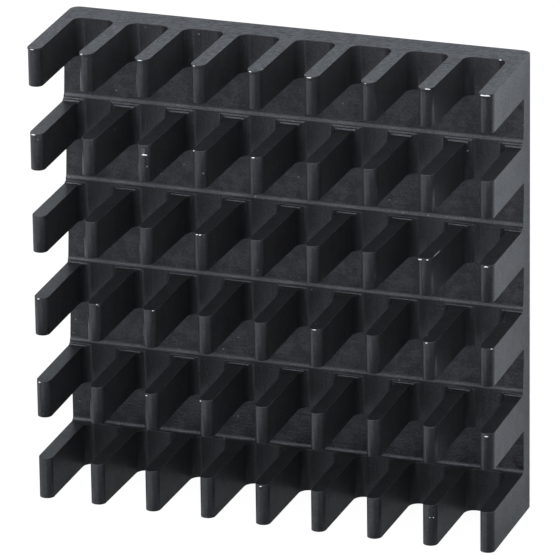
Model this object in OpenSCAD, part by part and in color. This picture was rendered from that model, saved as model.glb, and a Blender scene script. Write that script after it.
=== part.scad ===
// Pin fin heat sink: one black anodised aluminium extrusion whose fins are sawn across into rows of pins.
// Millimetres. The mounting face lies on Z = 0 with the origin at its middle. X runs across the fins,
// Y along the extrusion, and the pins point up.

/* [Extrusion] */
// Width across the fins
sink_w = 40; // [25:0.5:80]
// Length along the extrusion
sink_l = 40; // [15:0.5:120]
// Height from the mounting face to the pin tips
sink_h = 11; // [6:0.5:40]
// Thickness of the base under the channels
base_t = 2.7; // [1.5:0.05:5]
// Radius along the two long edges of the mounting face
back_r = 0.8; // [0.1:0.05:1.4]

/* [Fins] */
// Number of fins across the width
fin_n = 9; // [3:1:14]
// Thickness of a fin
fin_t = 1.25; // [0.6:0.05:2.5]
// Radius of the two corners of a fin's tip
tip_r = 0.6; // [0.05:0.05:0.6]
// Radius of the fillets where a fin meets the channel floor
root_r = 0.85; // [0.05:0.05:1.5]

/* [Cross cuts] */
// Length of a pin along the extrusion, between two cuts
pin_l = 3.24; // [1.5:0.02:8]
// Width of a cut at its floor
cut_w = 3.8; // [1.5:0.05:8]
// Depth of a cut's floor below the channel floor
cut_deep = 0.3; // [0.05:0.05:1.2]
// Radius in the two lower corners of a cut
cut_r = 0.4; // [0.05:0.05:0.7]
// Distance of the row of cuts from the middle of the length, towards +Y
cut_shift = 0.2; // [-0.5:0.05:0.5]

/* [Second saw pass] */
// Width that the second pass takes off the pins on the -Y side of a cut
step_w = 0.25; // [0.05:0.05:1]
// Height of the second pass above the channel floor
step_up = 0.12; // [0.02:0.02:1]
// Radius in the lower corner of the second pass
step_r = 0.15; // [0.05:0.05:0.3]

/* [Hidden] */
$fn = 48;
// Cutters reach this far past the faces that they cut
over = 1;
// A fillet or rounded corner takes at most this share of the wall that it lies on
wall_share = 0.48;
fin_pitch = (sink_w - fin_t) / (fin_n - 1);
channel_w = fin_pitch - fin_t;
fin_root_r = min(root_r, wall_share * channel_w);
fin_tip_r = min(tip_r, wall_share * fin_t);
cut_z = base_t - cut_deep;
cut_corner_r = min(cut_r, wall_share * cut_w);
step_z = base_t + step_up;
step_corner_r = min(step_r, wall_share * step_w);
cut_pitch = pin_l + cut_w + step_w;
cut_n = floor(sink_l / cut_pitch);
black_anodised = "#2a2b2e";

// A rectangle from corner to corner
module span(x0, x1, z0, z1) {
    translate([x0, z0]) square([x1 - x0, z1 - z0]);
}

// A rectangle whose two lower corners are round
module round_floor(x0, x1, z0, z1, r) {
    span(x0, x1, z0 + r, z1);
    span(x0 + r, x1 - r, z0, z1);
    for (x = [x0 + r, x1 - r]) {
        translate([x, z0 + r]) circle(r);
    }
}

// A fin with round tip corners, standing on the base and reaching into it
module fin_section() {
    mirror([0, 1]) round_floor(-fin_t / 2, fin_t / 2, -sink_h, -back_r - fin_tip_r, fin_tip_r);
}

// The concave fillet on one side of a fin's root
module root_fillet() {
    difference() {
        square(fin_root_r);
        translate([fin_root_r, fin_root_r]) circle(fin_root_r);
    }
}

// The section that is extruded: base, fins and fillets, drawn with Z up the page
module section() {
    round_floor(-sink_w / 2, sink_w / 2, 0, base_t, back_r);
    for (i = [0 : fin_n - 1]) {
        translate([(i - (fin_n - 1) / 2) * fin_pitch, 0]) {
            fin_section();
            if (i < fin_n - 1) {
                translate([fin_t / 2, base_t]) root_fillet();
            }
            if (i > 0) {
                translate([-fin_t / 2, base_t]) mirror([1, 0]) root_fillet();
            }
        }
    }
}

// The full-length extrusion before it is sawn
module extrusion() {
    rotate([90, 0, 0]) linear_extrude(height = sink_l, center = true) section();
}

// One saw cut seen along X: the deep pass, and the shallow second pass beside it where there is one
module cut_section(stepped) {
    round_floor(-cut_w / 2, cut_w / 2, cut_z, sink_h + over, cut_corner_r);
    if (stepped) {
        round_floor(-cut_w / 2 - step_w, 0, step_z, sink_h + over, step_corner_r);
    }
}

// The row of saw cuts, right across the width. The cut nearest the -Y end has one pass only.
module cross_cuts() {
    for (k = [0 : cut_n - 1]) {
        translate([0, (k - (cut_n - 1) / 2) * cut_pitch + cut_shift, 0])
            rotate([90, 0, 90])
                linear_extrude(height = sink_w + 2 * over, center = true) cut_section(k > 0);
    }
}

module heat_sink() {
    color(black_anodised) difference() {
        extrusion();
        cross_cuts();
    }
}

heat_sink();
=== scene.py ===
"""Looks of the pin fin heat sink: a sawn black anodised extrusion on a white studio floor."""

import math

import bpy
from mathutils import Matrix, Vector


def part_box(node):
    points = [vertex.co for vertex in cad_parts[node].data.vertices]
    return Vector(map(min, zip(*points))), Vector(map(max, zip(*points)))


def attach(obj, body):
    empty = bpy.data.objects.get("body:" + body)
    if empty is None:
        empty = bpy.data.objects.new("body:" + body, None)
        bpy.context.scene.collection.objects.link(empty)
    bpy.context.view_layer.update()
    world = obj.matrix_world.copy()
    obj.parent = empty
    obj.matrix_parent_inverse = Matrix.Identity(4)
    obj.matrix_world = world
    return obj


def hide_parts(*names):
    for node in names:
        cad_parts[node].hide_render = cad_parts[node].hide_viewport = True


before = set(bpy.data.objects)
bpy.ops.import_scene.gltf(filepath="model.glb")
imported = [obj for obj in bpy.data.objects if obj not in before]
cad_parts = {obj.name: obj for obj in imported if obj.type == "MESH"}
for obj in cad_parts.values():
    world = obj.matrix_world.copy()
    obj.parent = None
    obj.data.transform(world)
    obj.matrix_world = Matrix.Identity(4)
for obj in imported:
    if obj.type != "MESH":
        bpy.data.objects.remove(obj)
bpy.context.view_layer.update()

# Sizes are in metres, in the frame of the CAD model: X across the fins, Y along them, Z to the tips
MM = 0.001
low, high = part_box("heat_sink")
SINK_W = high.x - low.x
SINK_L = high.y - low.y
SINK_H = high.z - low.z

# The extruded section: the base with the radius along its back edges, the fins with the radii of their tips
# and roots, and the number of steps in every arc
BASE_T = 2.7 * MM
BACK_R = 0.8 * MM
FIN_N = 9
FIN_T = 1.25 * MM
FIN_PITCH = (SINK_W - FIN_T) / (FIN_N - 1)
TIP_R = 0.6 * MM
ROOT_R = 0.85 * MM
ARC_STEPS = 8

# The row of saw cuts, with the length of the pins between them, the width set aside for a second pass, the
# depth below the channel floors and the distance of the row from the middle, towards +Y
CUT_N = 5
PIN_L = 3.24 * MM
CUT_W = 3.8 * MM
STEP_W = 0.25 * MM
CUT_PITCH = PIN_L + CUT_W + STEP_W
CUT_DEEP = 0.3 * MM
CUT_Z = BASE_T - CUT_DEEP
CUT_SHIFT = 0.2 * MM
# Radii of a cut's lower corners: on its -Y side where there is no second pass, and on its +Y side
CUT_R = 0.4 * MM
FAR_R = 0.1 * MM
# Cutters reach this far past the faces that they cut
OVER = 1 * MM

# Steps that the second pass left at the pin roots, in millimetres, for each cut but the first from -Y: the
# distance behind the deep pass and the height above the channel floor, from the pin downwards
STEPS = (
    ((0.24, 0.23), (0.14, 0.18), (0.13, 0.02)),
    ((0.14, 0.07),),
    ((0.27, 0.29), (0.17, 0.25), (0.16, 0.02)),
    ((0.28, 0.3), (0.13, 0.22), (0.12, 0.09)),
)
# The steps' corners are rounded over this distance, but at most over this share of a side
STEP_EASE = 0.05 * MM
EASE_SHARE = 0.45
EASE_STEPS = 3

# The eased edge between a channel floor and a cut: how far into the cut its steepest point lies, the slope
# there in degrees, the radii above and below it, and how far in the cut's floor reaches its full depth
LEDGE_OUT = 0.196 * MM
LEDGE_TILT = 35
BRINK_R = 0.3 * MM
FOOT_R = 0.48 * MM
RAMP_OUT = 2.3 * MM

# The saw's burr: a lip on the fin tips at the +Y end, which alone reaches the full height. Its shape gives
# the distance from the end in millimetres and the share of the lip's height.
LIP_UP = 0.05 * MM
LIP_SHAPE = ((0.45, 0), (0.24, 0), (0.17, 0.75), (0.11, 1), (0.05, 0.8), (0, 0.35))
# The lip ends at this share of the tip's radius on the +X side, and fades over this height on the -X side
LIP_EDGE = 0.75
LIP_FADE = 0.6 * MM
TIP_Z = SINK_H - LIP_UP

# How far the pins lean at their tips in millimetres, for each row from -Y to +Y: towards -X at the second
# and at the eighth fin, while the outer fins stay upright in X, and towards -Y
ROW_LEAN = (
    (0.23, 0.1, 0.12), (0.11, 0.09, 0.22), (0.13, 0.09, 0.16),
    (0.3, 0.42, 0.1), (0.31, 0.25, 0.16), (0.31, 0.25, 0.14),
)

# Bare spots on the tips where the burr was knocked off: row from -Y and fin from -X, and then in millimetres
# the place across the tip, the half width and the distance from the pin's +Y end
NICKS = (
    (5, 0, -0.05, 0.18, 0.1), (5, 1, -0.2, 0.2, 0.1), (5, 2, -0.05, 0.2, 0.1), (5, 3, -0.15, 0.16, 0.1),
    (5, 4, -0.15, 0.2, 0.1), (5, 5, -0.05, 0.2, 0.1), (5, 6, -0.1, 0.12, 0.1), (5, 7, 0.15, 0.3, 0.06),
    (5, 8, 0, 0.36, 0.12), (4, 0, -0.15, 0.18, 0.1), (4, 3, -0.4, 0.1, 0.06), (4, 4, -0.1, 0.13, 0.08),
    (4, 2, 0.15, 0.22, 0.84), (3, 3, -0.2, 0.1, 0.08), (3, 3, 0.08, 0.1, 0.08), (3, 7, -0.25, 0.2, 0.12),
    (3, 7, 0.3, 0.1, 0.1), (3, 8, 0.05, 0.16, 0.12), (2, 0, -0.1, 0.1, 0.1), (2, 1, 0.33, 0.08, 0.05),
    (2, 2, 0.4, 0.08, 0.05), (2, 5, -0.05, 0.16, 0.06), (2, 7, -0.1, 0.1, 0.1), (2, 8, 0.45, 0.08, 0.05),
    (1, 0, -0.2, 0.1, 0.12), (1, 2, -0.3, 0.1, 0.2), (1, 3, -0.4, 0.08, 0.15), (1, 8, 0.06, 0.15, 0.25),
    (0, 4, 0, 0.1, 0.15), (0, 7, 0.12, 0.04, 1.1), (0, 7, 0.4, 0.05, 1.1),
)
# A nick is an ellipsoid a little wider than the spot that shows. Its half depth in millimetres grows with
# its half width but stays within the pin, and its middle lies under the tip by a share of its half height.
NICK_WIDE = 1.2
NICK_DEEP = 0.06
NICK_GROW = 0.1
NICK_HIGH = 0.07 * MM
NICK_SUNK = 0.3

# Bare spots on the channel edges of the +Y end: X and Z in millimetres, and then for all of them the half
# sizes and the distance from the end
END_NICKS = ((8.9, 2.75), (11, 2.62), (18.1, 2.75), (-8.85, 2.75))
END_NICK_SIZE = (0.14 * MM, 0.05 * MM, 0.05 * MM)
END_NICK_IN = 0.06 * MM

# Bare rims down the +X edge of a pin's +Y face: row from -Y, fin from -X, and then in millimetres the height
# of the middle and the half length
RIMS = ((3, 7, 9.5, 0.85),)
RIM_R = 0.05 * MM
RIM_IN = 0.02 * MM

# A bare spot's mesh: its rings and sides, and how many degrees its flat ends lie from its poles
BEAD_RINGS = 7
BEAD_SIDES = 10
BEAD_CAP = 10

# A sawn face counts as upright if its run is under the first share of its rise, and as part of a corner if
# its rise is over the second share of its run
FLAT = 0.0001
STEEP = 0.1

# Rounding of the sharp edges, and the angle past which shading breaks at an edge
EDGE_W = 0.03 * MM
EDGE_SEGMENTS = 2
EDGE_ANGLE = math.radians(35)
SHARP_ANGLE = math.radians(50)

# Material slots of the mesh, one for each finish
SKIN, SAWN_END, SAWN_WALL, SAWN_FLOOR, SAWN_CORNER, EDGE, BARE = range(7)

# Layers of grain in the finishes: the size along X, Y and Z in millimetres, the turn about Y in degrees and
# the weight
MOTTLE = ((0.17, 0.17, 0.17), 0, 1.8)
PATCHES = ((1.6, 1.6, 1.6), 0, 0.8)
BLOTCHES = ((0.9, 0.9, 0.9), 0, 1.6)
DIE_LINES = ((0.2, 9, 0.2), 0, 0.7)
SAW_LINES = ((4, 0.13, 0.13), 0, 0.6)
END_GRAIN = ((0.14, 0.14, 0.14), 0, 1)
SAW_STREAKS = ((0.45, 0.45, 0.08), 40, 2)
NOISE_DETAIL = 2
NOISE_MIDDLE = 0.5

# The anodised film: how far its roughness varies, the tint of its gloss, and a thin haze
GLOSS_VARIES = 0.04
FILM_TINT = (0.9, 0.92, 1, 1)
HAZE = 0.025
HAZE_ROUGHNESS = 0.4

# Dust: cells to a millimetre, with one speck each, on most faces and on the floors and corners of the cuts
DUST_SPARSE = 0.65
DUST_DENSE = 1.0
# A speck is full up to the first distance from its middle and gone at the second, both in millimetres
DUST_CORE = 0.05
DUST_RIM = 0.1
# The specks' strengths are even random numbers raised to this power
DUST_POWER = 2
DUST_COLOUR = (0.22, 0.22, 0.23)

# Bare aluminium: the size of its grain in millimetres, the two colours that the grain mixes, and the range of
# noise over which the roughness goes from one value to the other
BARE_GRAIN = (0.1, 0.1, 0.1)
BARE_DARK = (0.5, 0.51, 0.53)
BARE_LIGHT = (0.7, 0.71, 0.73)
BARE_NOISE = (0.35, 0.65)
BARE_ROUGHNESS = (0.4, 0.55)

# The floor lies just under the sink. The camera sees it white, with a faint share that takes the shadow.
FLOOR_HALF = 3.0
FLOOR_DROP = 0.02 * MM
FLOOR_GLOW = 0.95
FLOOR_FAINT = (0.1, 0.1, 0.1, 1)
# Reflections see this share of that white
GLOSSY_SHARE = 0.05
# Other light meets a pale colour: plain elsewhere, made full beside the sink at +X by painted light, and made
# dim in a band beyond the -Y end by a painted shadow
FLOOR_COLOUR = (0.733, 0.767, 0.802)
PLAIN_SHADE = 0.86
# Painted light: the floor is made brighter beside the sink at +X, between these two places
PAINTED_LIGHT_START = 10 * MM
PAINTED_LIGHT_END = 24 * MM
# Painted shadow: how dim the floor is made in a band beyond the -Y end, its middle, and where it is full and
# gone
PAINTED_SHADOW_LEVEL = 0.2
PAINTED_SHADOW_Y = -29 * MM
PAINTED_SHADOW_CORE = 4 * MM
PAINTED_SHADOW_RIM = 11 * MM

# A dim room, and soft boxes that face the sink: name, place, direction of the width, width and height in
# millimetres, and radiance
ROOM_LIGHT = 0.06
LAMP_COLOUR = (0.95, 0.975, 1)
SOFT_BOXES = (
    ("back", (15, 110, 110), (1, 0, 0), 400, 160, 3.35),
    ("left", (-280, -15, 100), (0, 1, 0), 540, 210, 1.05),
    ("top", (-62, -31, 150), (1, 0, 0), 160, 100, 1.03),
    ("right", (145, -71, 118), (0, 1, 0), 160, 240, 0.12),
)

# The camera, fitted to the photograph for a square frame
CAMERA_PLACE = Vector((168.969, 194.689, 487.007)) * MM
CAMERA_AIM = Vector((-1.594, -1.909, 1.308)) * MM
CAMERA_ROLL = math.radians(-0.766)
CAMERA_LENS = 424.75
CAMERA_NEAR = 0.01
CAMERA_FAR = 10
SENSOR_W = 36


def fin_x(i):
    """Middle of a fin, counted from the -X side."""
    return (i - (FIN_N - 1) / 2) * FIN_PITCH


def cut_y(k):
    """Middle of a saw cut's deep pass, counted from the -Y end."""
    return (k - (CUT_N - 1) / 2) * CUT_PITCH + CUT_SHIFT


def pin_front(row):
    """The +Y end of a row of pins, counted from the -Y end."""
    if row == CUT_N:
        return SINK_L / 2
    step = STEPS[row - 1][0][0] * MM if row > 0 else 0
    return cut_y(row) - CUT_W / 2 - step


def tip_height(across):
    """Height of a round tip at a distance from the fin's middle."""
    past = max(0, abs(across) - FIN_T / 2 + TIP_R)
    return TIP_Z - TIP_R + math.sqrt(TIP_R ** 2 - past ** 2)


def arc(centre, radius, start, end):
    """Points of an arc, with its angles in degrees."""
    angles = [math.radians(start + (end - start) * k / ARC_STEPS) for k in range(ARC_STEPS + 1)]
    return [(centre[0] + radius * math.cos(a), centre[1] + radius * math.sin(a)) for a in angles]


def tip_outline(x, lip):
    """A fin's round tip from right to left, with the lip standing proud on its top and left side."""
    right, left = x + FIN_T / 2, x - FIN_T / 2
    points = []
    for side, start in ((right - TIP_R, 0), (left + TIP_R, 90)):
        for px, pz in arc((side, TIP_Z - TIP_R), TIP_R, start, start + 90):
            out = Vector((px - side, pz - TIP_Z + TIP_R)) / TIP_R
            share = min(1, max(0, LIP_EDGE - out.x))
            points.append((max(px + out.x * share * lip, -SINK_W / 2), pz + out.y * share * lip))
    return points + [(left, TIP_Z - TIP_R - LIP_FADE)]


def section_outline(lip):
    """The extruded section in X and Z, anticlockwise from the lower left corner."""
    half = SINK_W / 2
    points = arc((-half + BACK_R, BACK_R), BACK_R, 180, 270)
    points += arc((half - BACK_R, BACK_R), BACK_R, 270, 360)
    for i in reversed(range(FIN_N)):
        right, left = fin_x(i) + FIN_T / 2, fin_x(i) - FIN_T / 2
        if i < FIN_N - 1:
            points += arc((right + ROOT_R, BASE_T + ROOT_R), ROOT_R, 270, 180)
        points += tip_outline(fin_x(i), lip)
        if i > 0:
            points += arc((left - ROOT_R, BASE_T + ROOT_R), ROOT_R, 0, -90)
    return points


def eased(points, reach):
    """A line through points whose corners are rounded."""
    line = [points[0]]
    for before, corner, after in zip(points, points[1:], points[2:]):
        corner = Vector(corner)
        ways = [Vector(point) - corner for point in (before, after)]
        start, end = [corner + way.normalized() * min(reach, way.length * EASE_SHARE) for way in ways]
        for n in range(EASE_STEPS + 1):
            share = n / EASE_STEPS
            line.append(tuple(start.lerp(corner, share).lerp(corner.lerp(end, share), share)))
    return line + [points[-1]]


def stepped_side(start, top, steps):
    """The -Y side of a cut with a second pass, in Y and Z from the top down to the cut's full depth.

    The steps lead down to the channel floor. From there a round brink and a hollow foot lead to the cut's
    floor, which still falls a little to its full depth.
    """
    run = math.sin(math.radians(LEDGE_TILT))
    rise = 1 - math.cos(math.radians(LEDGE_TILT))
    brink = start + LEDGE_OUT - BRINK_R * run
    foot = start + LEDGE_OUT + FOOT_R * run
    foot_z = BASE_T - (BRINK_R + FOOT_R) * rise
    corners = [(start - back * MM, BASE_T + up * MM) for back, up in steps]
    points = eased([(corners[0][0], top)] + corners + [(brink, BASE_T)], STEP_EASE)[:-1]
    points += arc((brink, BASE_T - BRINK_R), BRINK_R, 90, 90 - LEDGE_TILT)[:-1]
    points += arc((foot, foot_z + FOOT_R), FOOT_R, 270 - LEDGE_TILT, 270)
    return points + [(start + RAMP_OUT, CUT_Z)]


def cut_outline(k):
    """One saw cut in Y and Z, anticlockwise from its upper left corner.

    The cut nearest the -Y end has one pass only.
    """
    start, end, top = cut_y(k) - CUT_W / 2, cut_y(k) + CUT_W / 2, SINK_H + OVER
    if k > 0:
        points = stepped_side(start, top, STEPS[k - 1])
    else:
        points = [(start, top)] + arc((start + CUT_R, CUT_Z + CUT_R), CUT_R, 180, 270)
    points += arc((end - FAR_R, CUT_Z + FAR_R), FAR_R, 270, 360)
    return points + [(end, top)]


def loft(rings, side_slot, cap_slot):
    """Vertices, faces and slots of a solid through rings of points, with flat ends."""
    count, last = len(rings[0]), len(rings) - 1
    verts = [point for ring in rings for point in ring]
    faces = [tuple(range(count)), tuple(reversed(range(last * count, (last + 1) * count)))]
    slots = [cap_slot, cap_slot]
    for r in range(last):
        for k in range(count):
            a, b = r * count + k, r * count + (k + 1) % count
            faces.append((b, a, a + count, b + count))
            slots.append(side_slot)
    return verts, faces, slots


def extrusion():
    """The full-length section, with the lip at its +Y end."""
    half = SINK_L / 2
    rings = [[(x, -half, z) for x, z in section_outline(0)]]
    for back, share in LIP_SHAPE:
        rings.append([(x, half - back * MM, z) for x, z in section_outline(LIP_UP * share)])
    return loft(rings, SKIN, SAWN_END)


def extent(points, axis):
    """How far points spread along an axis."""
    places = [point[axis] for point in points]
    return max(places) - min(places)


def saw_cut(k):
    """One saw cut right across the width, with slots for its floor, its walls and its corners."""
    half = SINK_W / 2 + OVER
    outline = cut_outline(k)
    rings = [[(x, y, z) for y, z in outline] for x in (half, -half)]
    verts, faces, slots = loft(rings, SAWN_FLOOR, SAWN_FLOOR)
    for n, face in enumerate(faces):
        corners = [verts[v] for v in face]
        long, tall = extent(corners, 1), extent(corners, 2)
        if long < FLAT * tall:
            slots[n] = SAWN_WALL
        elif tall > STEEP * long:
            slots[n] = SAWN_CORNER
    return verts, faces, slots


def bead(x, y, z, size):
    """A small closed ellipsoid of bare metal, with its half sizes along X, Y and Z."""
    around = [2 * math.pi * n / BEAD_SIDES for n in range(BEAD_SIDES)]
    rings = []
    for k in range(BEAD_RINGS):
        turn = math.radians(BEAD_CAP + (180 - 2 * BEAD_CAP) * k / (BEAD_RINGS - 1))
        ring_x = x - size[0] * math.cos(turn)
        deep, tall = size[1] * math.sin(turn), size[2] * math.sin(turn)
        rings.append([(ring_x, y + deep * math.sin(a), z + tall * math.cos(a)) for a in around])
    return loft(rings, BARE, BARE)


def bare_spots():
    """The bare spots on the tips, on the channel edges and down the pins' edges."""
    spots = []
    for row, fin, across, half, back in NICKS:
        z = tip_height(across * MM) - NICK_SUNK * NICK_HIGH
        deep = min(NICK_DEEP + NICK_GROW * half, back) * MM
        size = (NICK_WIDE * half * MM, deep, NICK_HIGH)
        spots.append(bead(fin_x(fin) + across * MM, pin_front(row) - back * MM, z, size))
    for x, z in END_NICKS:
        spots.append(bead(x * MM, SINK_L / 2 - END_NICK_IN, z * MM, END_NICK_SIZE))
    for row, fin, z, half in RIMS:
        x = fin_x(fin) + FIN_T / 2 - RIM_IN
        spots.append(bead(x, pin_front(row) - RIM_IN, z * MM, (RIM_R, RIM_R, half * MM)))
    return spots


def mesh_object(name, solids, finishes):
    """One mesh object from a list of solids."""
    verts, faces, slots = [], [], []
    for solid_verts, solid_faces, solid_slots in solids:
        first = len(verts)
        verts += solid_verts
        faces += [tuple(first + v for v in face) for face in solid_faces]
        slots += solid_slots
    mesh = bpy.data.meshes.new(name)
    mesh.from_pydata(verts, [], faces)
    mesh.polygons.foreach_set("material_index", slots)
    for material in finishes:
        mesh.materials.append(material)
    obj = bpy.data.objects.new(name, mesh)
    bpy.context.scene.collection.objects.link(obj)
    return obj


def add_boolean(obj, other, operation, solver):
    """A modifier that cuts another object away or joins it on."""
    modifier = obj.modifiers.new(other.name, "BOOLEAN")
    modifier.operation = operation
    modifier.solver = solver
    modifier.object = other


def add_rounding(obj):
    """A modifier that rounds the sharp edges and gives them a finish of their own."""
    modifier = obj.modifiers.new("edges", "BEVEL")
    modifier.limit_method = "ANGLE"
    modifier.angle_limit = EDGE_ANGLE
    modifier.width = EDGE_W
    modifier.segments = EDGE_SEGMENTS
    modifier.use_clamp_overlap = False
    modifier.material = EDGE


def apply_modifiers(obj):
    """Replaces an object's mesh by the one that its modifiers make."""
    made = bpy.data.meshes.new_from_object(obj.evaluated_get(bpy.context.evaluated_depsgraph_get()))
    obj.modifiers.clear()
    obj.data = made


def bend_pins(mesh):
    """Leans the pins as the saw left them, and keeps them within the sink's box."""
    for vertex in mesh.vertices:
        fin = round(vertex.co.x / FIN_PITCH + (FIN_N - 1) / 2)
        row = sum(vertex.co.y > cut_y(k) for k in range(CUT_N))
        share = max(0, vertex.co.z - BASE_T) / (SINK_H - BASE_T) * MM
        second, eighth, back = ROW_LEAN[row]
        if 0 < fin < FIN_N - 1:
            vertex.co.x -= (second + (eighth - second) * (fin - 1) / (FIN_N - 3)) * share
        vertex.co.x = min(max(vertex.co.x, -SINK_W / 2), SINK_W / 2)
        vertex.co.y = max(vertex.co.y - back * share, -SINK_L / 2)
        vertex.co.z = min(vertex.co.z, SINK_H)


def build_sink(finishes):
    """The sawn extrusion, with a finish for each kind of face."""
    sink = mesh_object("sawn_heat_sink", [extrusion()], finishes)
    saw = mesh_object("saw_cuts", [saw_cut(k) for k in range(CUT_N)], finishes)
    add_boolean(sink, saw, "DIFFERENCE", "EXACT")
    add_rounding(sink)
    apply_modifiers(sink)
    bpy.data.objects.remove(saw)
    beads = mesh_object("bare_spots", bare_spots(), finishes)
    add_boolean(sink, beads, "UNION", "MANIFOLD")
    apply_modifiers(sink)
    bpy.data.objects.remove(beads)
    bend_pins(sink.data)
    sink.data.shade_smooth()
    sink.data.set_sharp_from_angle(angle=SHARP_ANGLE)
    shading = sink.modifiers.new("normals", "WEIGHTED_NORMAL")
    shading.keep_sharp = True
    apply_modifiers(sink)
    return sink


def math_node(tree, operation, *values):
    """Numbers or sockets joined by a sum, a product or the like."""
    node = tree.nodes.new("ShaderNodeMath")
    node.operation = operation
    for socket, value in zip(node.inputs, values):
        if isinstance(value, (int, float)):
            socket.default_value = value
        else:
            tree.links.new(value, socket)
    return node.outputs[0]


def map_range(tree, value, start, end, low_value, high_value):
    """A value spread from one range to another, and held at its ends."""
    node = tree.nodes.new("ShaderNodeMapRange")
    node.inputs["From Min"].default_value = start
    node.inputs["From Max"].default_value = end
    node.inputs["To Min"].default_value = low_value
    node.inputs["To Max"].default_value = high_value
    tree.links.new(value, node.inputs["Value"])
    return node.outputs["Result"]


def mix_colour(tree, factor, first, second):
    """A colour between two others, where each is a plain colour or a socket."""
    node = tree.nodes.new("ShaderNodeMix")
    node.data_type = "RGBA"
    tree.links.new(factor, node.inputs["Factor"])
    for name, value in (("A", first), ("B", second)):
        socket = [s for s in node.inputs if s.name == name and s.type == "RGBA"][0]
        if isinstance(value, tuple):
            socket.default_value = (*value, 1)
        else:
            tree.links.new(value, socket)
    return [s for s in node.outputs if s.type == "RGBA"][0]


def noise_layer(tree, size, turn=0):
    """Noise whose grains have a given size in millimetres along X, Y and Z, turned about Y."""
    place = tree.nodes.new("ShaderNodeTexCoord")
    grain = tree.nodes.new("ShaderNodeMapping")
    grain.vector_type = "TEXTURE"
    grain.inputs["Scale"].default_value = [s * MM for s in size]
    grain.inputs["Rotation"].default_value = (0, math.radians(turn), 0)
    noise = tree.nodes.new("ShaderNodeTexNoise")
    noise.inputs["Scale"].default_value = 1
    noise.inputs["Detail"].default_value = NOISE_DETAIL
    tree.links.new(place.outputs["Object"], grain.inputs["Vector"])
    tree.links.new(grain.outputs["Vector"], noise.inputs["Vector"])
    return noise.outputs["Fac"]


def layered_grain(tree, layers):
    """The weighted mean of layers of noise."""
    total = sum(weight for size, turn, weight in layers)
    grain = 0
    for size, turn, weight in layers:
        layer = math_node(tree, "MULTIPLY", noise_layer(tree, size, turn), weight / total)
        grain = math_node(tree, "ADD", layer, grain)
    return grain


def dust(tree, density):
    """Sparse specks of dust, up to 1 on a speck and 0 elsewhere."""
    place = tree.nodes.new("ShaderNodeTexCoord")
    cells = tree.nodes.new("ShaderNodeTexVoronoi")
    cells.inputs["Scale"].default_value = density / MM
    tree.links.new(place.outputs["Object"], cells.inputs["Vector"])
    speck = map_range(tree, cells.outputs["Distance"], DUST_CORE * density, DUST_RIM * density, 1, 0)
    strength = math_node(tree, "POWER", cells.outputs["Color"], DUST_POWER)
    return math_node(tree, "MULTIPLY", speck, strength)


def anodised(name, dark, light, roughness, ior, layers, spread, depth, density=DUST_SPARSE):
    """Satin black anodised aluminium, whose layers of grain vary its colour, gloss and height.

    The grain goes from dark to light over the spread on both sides of the noise's middle, and its depth is in
    millimetres.
    """
    material = bpy.data.materials.new(name)
    material.use_nodes = True
    tree = material.node_tree
    shader = tree.nodes["Principled BSDF"]
    grain = layered_grain(tree, layers)
    start, end = NOISE_MIDDLE - spread, NOISE_MIDDLE + spread
    film = mix_colour(tree, map_range(tree, grain, start, end, 0, 1), dark, light)
    colour = mix_colour(tree, dust(tree, density), film, DUST_COLOUR)
    tree.links.new(colour, shader.inputs["Base Color"])
    gloss = map_range(tree, grain, start, end, roughness + GLOSS_VARIES, roughness - GLOSS_VARIES)
    tree.links.new(gloss, shader.inputs["Roughness"])
    bump = tree.nodes.new("ShaderNodeBump")
    bump.inputs["Distance"].default_value = depth * MM
    tree.links.new(grain, bump.inputs["Height"])
    tree.links.new(bump.outputs["Normal"], shader.inputs["Normal"])
    shader.inputs["IOR"].default_value = ior
    shader.inputs["Specular Tint"].default_value = FILM_TINT
    shader.inputs["Sheen Weight"].default_value = HAZE
    shader.inputs["Sheen Roughness"].default_value = HAZE_ROUGHNESS
    return material


def bare_metal(name):
    """Bright aluminium where the film is gone."""
    material = bpy.data.materials.new(name)
    material.use_nodes = True
    tree = material.node_tree
    shader = tree.nodes["Principled BSDF"]
    grain = noise_layer(tree, BARE_GRAIN)
    tree.links.new(mix_colour(tree, grain, BARE_DARK, BARE_LIGHT), shader.inputs["Base Color"])
    tree.links.new(map_range(tree, grain, *BARE_NOISE, *BARE_ROUGHNESS), shader.inputs["Roughness"])
    shader.inputs["Metallic"].default_value = 1
    return material


def build_finishes():
    """The finishes, in the order of the mesh's material slots."""
    return [
        anodised("black_anodised_skin", (0.0085, 0.0086, 0.0095), (0.019, 0.0193, 0.0211),
                 roughness=0.36, ior=1.54, layers=(MOTTLE, PATCHES, DIE_LINES), spread=0.07, depth=0.03),
        anodised("black_anodised_sawn_end", (0, 0, 0.001), (0.046, 0.049, 0.054),
                 roughness=0.5, ior=1.42, layers=(END_GRAIN, SAW_STREAKS), spread=0.075, depth=0.03),
        anodised("black_anodised_sawn_wall", (0.002, 0.0021, 0.0025), (0.0085, 0.0087, 0.0098),
                 roughness=0.33, ior=1.46, layers=(MOTTLE, PATCHES, SAW_LINES), spread=0.08, depth=0.05),
        anodised("black_anodised_sawn_floor", (0.002, 0.002, 0.0026), (0.021, 0.0205, 0.0235),
                 roughness=0.35, ior=1.52, layers=(MOTTLE, BLOTCHES, SAW_LINES), spread=0.065, depth=0.045,
                 density=DUST_DENSE),
        anodised("black_anodised_sawn_corner", (0.002, 0.002, 0.0026), (0.021, 0.0205, 0.0235),
                 roughness=0.38, ior=1.57, layers=(MOTTLE, PATCHES, SAW_LINES), spread=0.1, depth=0.02,
                 density=DUST_DENSE),
        anodised("black_anodised_edge", (0.01, 0.0102, 0.0112), (0.04, 0.041, 0.044),
                 roughness=0.32, ior=1.45, layers=(MOTTLE, PATCHES), spread=0.13, depth=0.008),
        bare_metal("bare_aluminium"),
    ]


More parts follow.
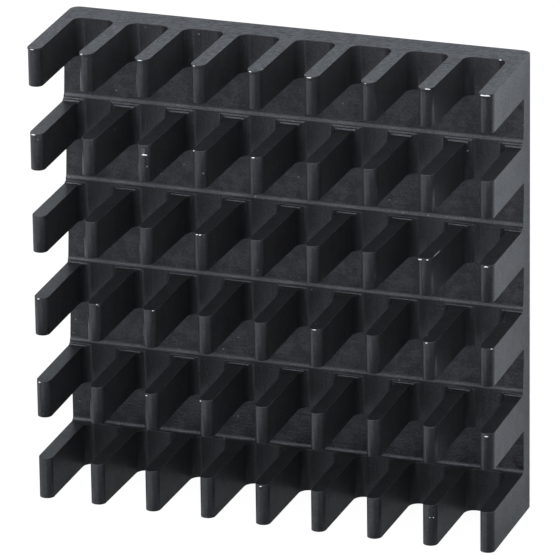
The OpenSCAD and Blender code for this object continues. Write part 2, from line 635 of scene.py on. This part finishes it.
def floor_colour_with_painted_light(tree):
    """The floor's colour for light that the camera does not see directly, with painted light and a painted
    shadow.
    """
    place = tree.nodes.new("ShaderNodeTexCoord")
    axes = tree.nodes.new("ShaderNodeSeparateXYZ")
    tree.links.new(place.outputs["Object"], axes.inputs["Vector"])
    # Painted shadow in a band beyond the -Y end, and painted light beside the sink at +X
    away = math_node(tree, "ABSOLUTE", math_node(tree, "SUBTRACT", axes.outputs["Y"], PAINTED_SHADOW_Y))
    painted_shadow = map_range(tree, away, PAINTED_SHADOW_CORE, PAINTED_SHADOW_RIM, PAINTED_SHADOW_LEVEL, PLAIN_SHADE)
    side = map_range(tree, axes.outputs["X"], PAINTED_LIGHT_START, PAINTED_LIGHT_END, 0, 1 - PLAIN_SHADE)
    return mix_colour(tree, math_node(tree, "ADD", painted_shadow, side), (0, 0, 0), FLOOR_COLOUR)


def floor_material():
    """White to the camera and in part to reflections, and pale with painted light and shadow to all other
    light.
    """
    material = bpy.data.materials.new("white_floor")
    material.use_nodes = True
    tree = material.node_tree
    tree.nodes.clear()
    path = tree.nodes.new("ShaderNodeLightPath")
    glossy, seen = path.outputs["Is Glossy Ray"], path.outputs["Is Camera Ray"]
    white_share = math_node(tree, "MULTIPLY_ADD", glossy, GLOSSY_SHARE, seen)
    pale = tree.nodes.new("ShaderNodeBsdfDiffuse")
    tree.links.new(floor_colour_with_painted_light(tree), pale.inputs["Color"])
    faint = tree.nodes.new("ShaderNodeBsdfDiffuse")
    faint.inputs["Color"].default_value = FLOOR_FAINT
    glow = tree.nodes.new("ShaderNodeEmission")
    glow.inputs["Strength"].default_value = FLOOR_GLOW
    white = tree.nodes.new("ShaderNodeAddShader")
    tree.links.new(faint.outputs[0], white.inputs[0])
    tree.links.new(glow.outputs[0], white.inputs[1])
    mix = tree.nodes.new("ShaderNodeMixShader")
    tree.links.new(white_share, mix.inputs[0])
    tree.links.new(pale.outputs[0], mix.inputs[1])
    tree.links.new(white.outputs[0], mix.inputs[2])
    out = tree.nodes.new("ShaderNodeOutputMaterial")
    tree.links.new(mix.outputs[0], out.inputs["Surface"])
    return material


def build_floor():
    """A wide white floor that keeps a soft shadow."""
    mesh = bpy.data.meshes.new("floor")
    corners = [(x * FLOOR_HALF, y * FLOOR_HALF, 0) for x, y in ((-1, -1), (1, -1), (1, 1), (-1, 1))]
    mesh.from_pydata(corners, [], [(0, 1, 2, 3)])
    mesh.materials.append(floor_material())
    floor = bpy.data.objects.new("floor", mesh)
    floor.location.z = -FLOOR_DROP
    bpy.context.scene.collection.objects.link(floor)
    return floor


def build_world():
    """A dim room round the soft boxes."""
    world = bpy.data.worlds.new("studio")
    bpy.context.scene.world = world
    world.use_nodes = True
    back = world.node_tree.nodes["Background"]
    back.inputs["Color"].default_value = (1, 1, 1, 1)
    back.inputs["Strength"].default_value = ROOM_LIGHT


def soft_box(name, place, across, width, height, radiance):
    """A soft box of a given radiance that faces the sink, with its place and sizes in millimetres."""
    data = bpy.data.lights.new(name, "AREA")
    data.shape = "RECTANGLE"
    data.size, data.size_y = width * MM, height * MM
    data.energy = radiance * math.pi * data.size * data.size_y
    data.color = LAMP_COLOUR
    light = bpy.data.objects.new(name, data)
    bpy.context.scene.collection.objects.link(light)
    light.visible_camera = False
    back = Vector(place).normalized()
    up = back.cross(Vector(across)).normalized()
    turn = Matrix((up.cross(back), up, back)).transposed()
    light.matrix_world = Matrix.Translation(Vector(place) * MM) @ turn.to_4x4()


def build_camera():
    """The photograph's camera, with the sink's length running up the frame."""
    data = bpy.data.cameras.new("camera")
    data.sensor_width = SENSOR_W
    data.lens = CAMERA_LENS
    data.clip_start, data.clip_end = CAMERA_NEAR, CAMERA_FAR
    camera = bpy.data.objects.new("camera", data)
    bpy.context.scene.collection.objects.link(camera)
    back = (CAMERA_PLACE - CAMERA_AIM).normalized()
    right = Vector((0, 1, 0)).cross(back).normalized()
    up = back.cross(right)
    turn = Matrix((right, up, back)).transposed() @ Matrix.Rotation(CAMERA_ROLL, 3, "Z")
    camera.matrix_world = Matrix.Translation(CAMERA_PLACE) @ turn.to_4x4()
    bpy.context.scene.camera = camera


sink = build_sink(build_finishes())
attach(sink, "root")
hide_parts("heat_sink")
build_floor()
build_world()
for box in SOFT_BOXES:
    soft_box(*box)
build_camera()
bpy.context.scene.view_settings.view_transform = "Standard"
